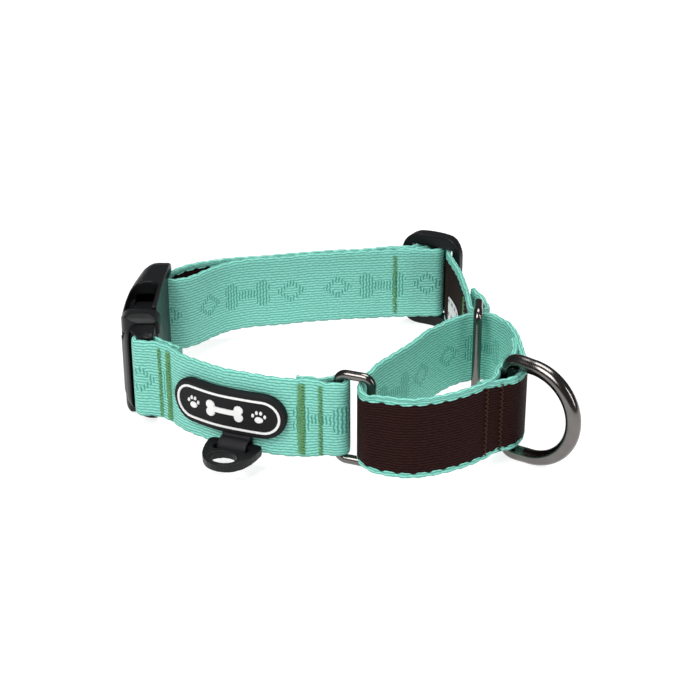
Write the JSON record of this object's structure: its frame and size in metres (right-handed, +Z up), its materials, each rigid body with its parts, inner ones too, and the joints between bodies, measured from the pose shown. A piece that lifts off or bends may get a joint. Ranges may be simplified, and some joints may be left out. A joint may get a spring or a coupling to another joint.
{
  "type": "martingale collar",
  "caption": "Webbing martingale dog collar with a side-release buckle, adjusting slider, control loop on two rings, leash D-ring and a tag ring, standing on its edge.",
  "frame": {"origin": "centre of the collar's footprint, on the surface that it stands on", "axes": "+X across the neck opening towards the leash ring, +Y from the front strap to the adjusting strap, +Z up along the webbing's width"},
  "size_m": [0.1362, 0.1224, 0.0334],
  "materials": {
    "webbing": "ribbed mint green polyester webbing, slight sheen",
    "webbing_back": "dark brown back face of the same webbing",
    "black_plastic": "satin acetal, fine mould texture",
    "gunmetal": "polished black nickel plate",
    "black_ribbon": "fine black grosgrain",
    "black_rubber": "soft moulded rubber, matte",
    "white_print": "raised white moulded rubber",
    "label_cloth": "white woven label",
    "green_thread": "leaf green polyester thread",
    "brown_thread": "brown polyester thread"
  },
  "bodies": {
    "collar": {"front_strap": "webbing", "adjust_strap": "webbing", "control_loop": "webbing", "buckle_male": "black_plastic", "tag_ribbon": "black_ribbon", "patch": "black_rubber", "patch_border": "white_print", "patch_icon": "white_print", "care_label": "label_cloth", "tack_buckle_narrow": "green_thread", "tack_buckle_wide": "green_thread", "tack_ring_a_wide": "green_thread", "tack_ring_a_narrow": "green_thread", "tack_loop_left": "brown_thread", "tack_loop_right": "brown_thread"},
    "buckle_socket": {"buckle_female": "black_plastic"},
    "upper_prong": {"buckle_prong_upper": "black_plastic"},
    "lower_prong": {"buckle_prong_lower": "black_plastic"},
    "slider": {"slider": "black_plastic", "tack_slider_fold": "green_thread"},
    "ring_a": {"ring_a": "gunmetal"},
    "strap_end": {"tack_ring_b": "green_thread"},
    "ring_b": {"ring_b": "gunmetal"},
    "leash_ring": {"d_ring": "gunmetal"},
    "tag_ring": {"tag_ring": "black_plastic"}
  },
  "joints": [
    {"name": "buckle_release", "type": "slide", "parent": "collar", "child": "buckle_socket", "axis": [0, 1, 0], "range_m": [0, 0.024], "deforming": ["adjust_strap", "buckle_prong_upper", "buckle_prong_lower"]},
    {"name": "upper_prong_squeeze", "type": "hinge", "parent": "collar", "child": "upper_prong", "pos_m": [-0.0617, -0.0141, 0.0272], "axis": [-1, 0, 0], "range_deg": [0, 8], "stiffness_Nm_per_rad": 0.1},
    {"name": "lower_prong_squeeze", "type": "hinge", "parent": "collar", "child": "lower_prong", "pos_m": [-0.0617, -0.0141, 0.0062], "axis": [1, 0, 0], "range_deg": [0, 8], "stiffness_Nm_per_rad": 0.1},
    {"name": "slider_adjust", "type": "slide", "parent": "collar", "child": "slider", "axis": [-0.975, -0.222, 0], "range_m": [-0.002, 0.012], "deforming": ["adjust_strap"]},
    {"name": "ring_a_swing", "type": "hinge", "parent": "collar", "child": "ring_a", "pos_m": [-0.0006, -0.0463, 0.0167], "axis": [0, 0, 1], "range_deg": [-7, 12]},
    {"name": "martingale_slide", "type": "slide", "parent": "collar", "child": "strap_end", "axis": [-0.8211, -0.5708, 0], "range_m": [0, 0.01], "deforming": ["adjust_strap"]},
    {"name": "ring_b_swing", "type": "hinge", "parent": "strap_end", "child": "ring_b", "pos_m": [0.0432, 0.0063, 0.0167], "axis": [0, 0, 1], "range_deg": [-12, 8]},
    {"name": "leash_ring_swing", "type": "hinge", "parent": "collar", "child": "leash_ring", "pos_m": [0.0488, -0.0395, 0.0167], "axis": [0, 0, 1], "range_deg": [-20, 65]},
    {"name": "tag_ring_swing", "type": "hinge", "parent": "collar", "child": "tag_ring", "pos_m": [-0.03032, -0.04656, 0.0067], "axis": [0.9285, -0.3713, 0], "range_deg": [-60, 50]}
  ]
}
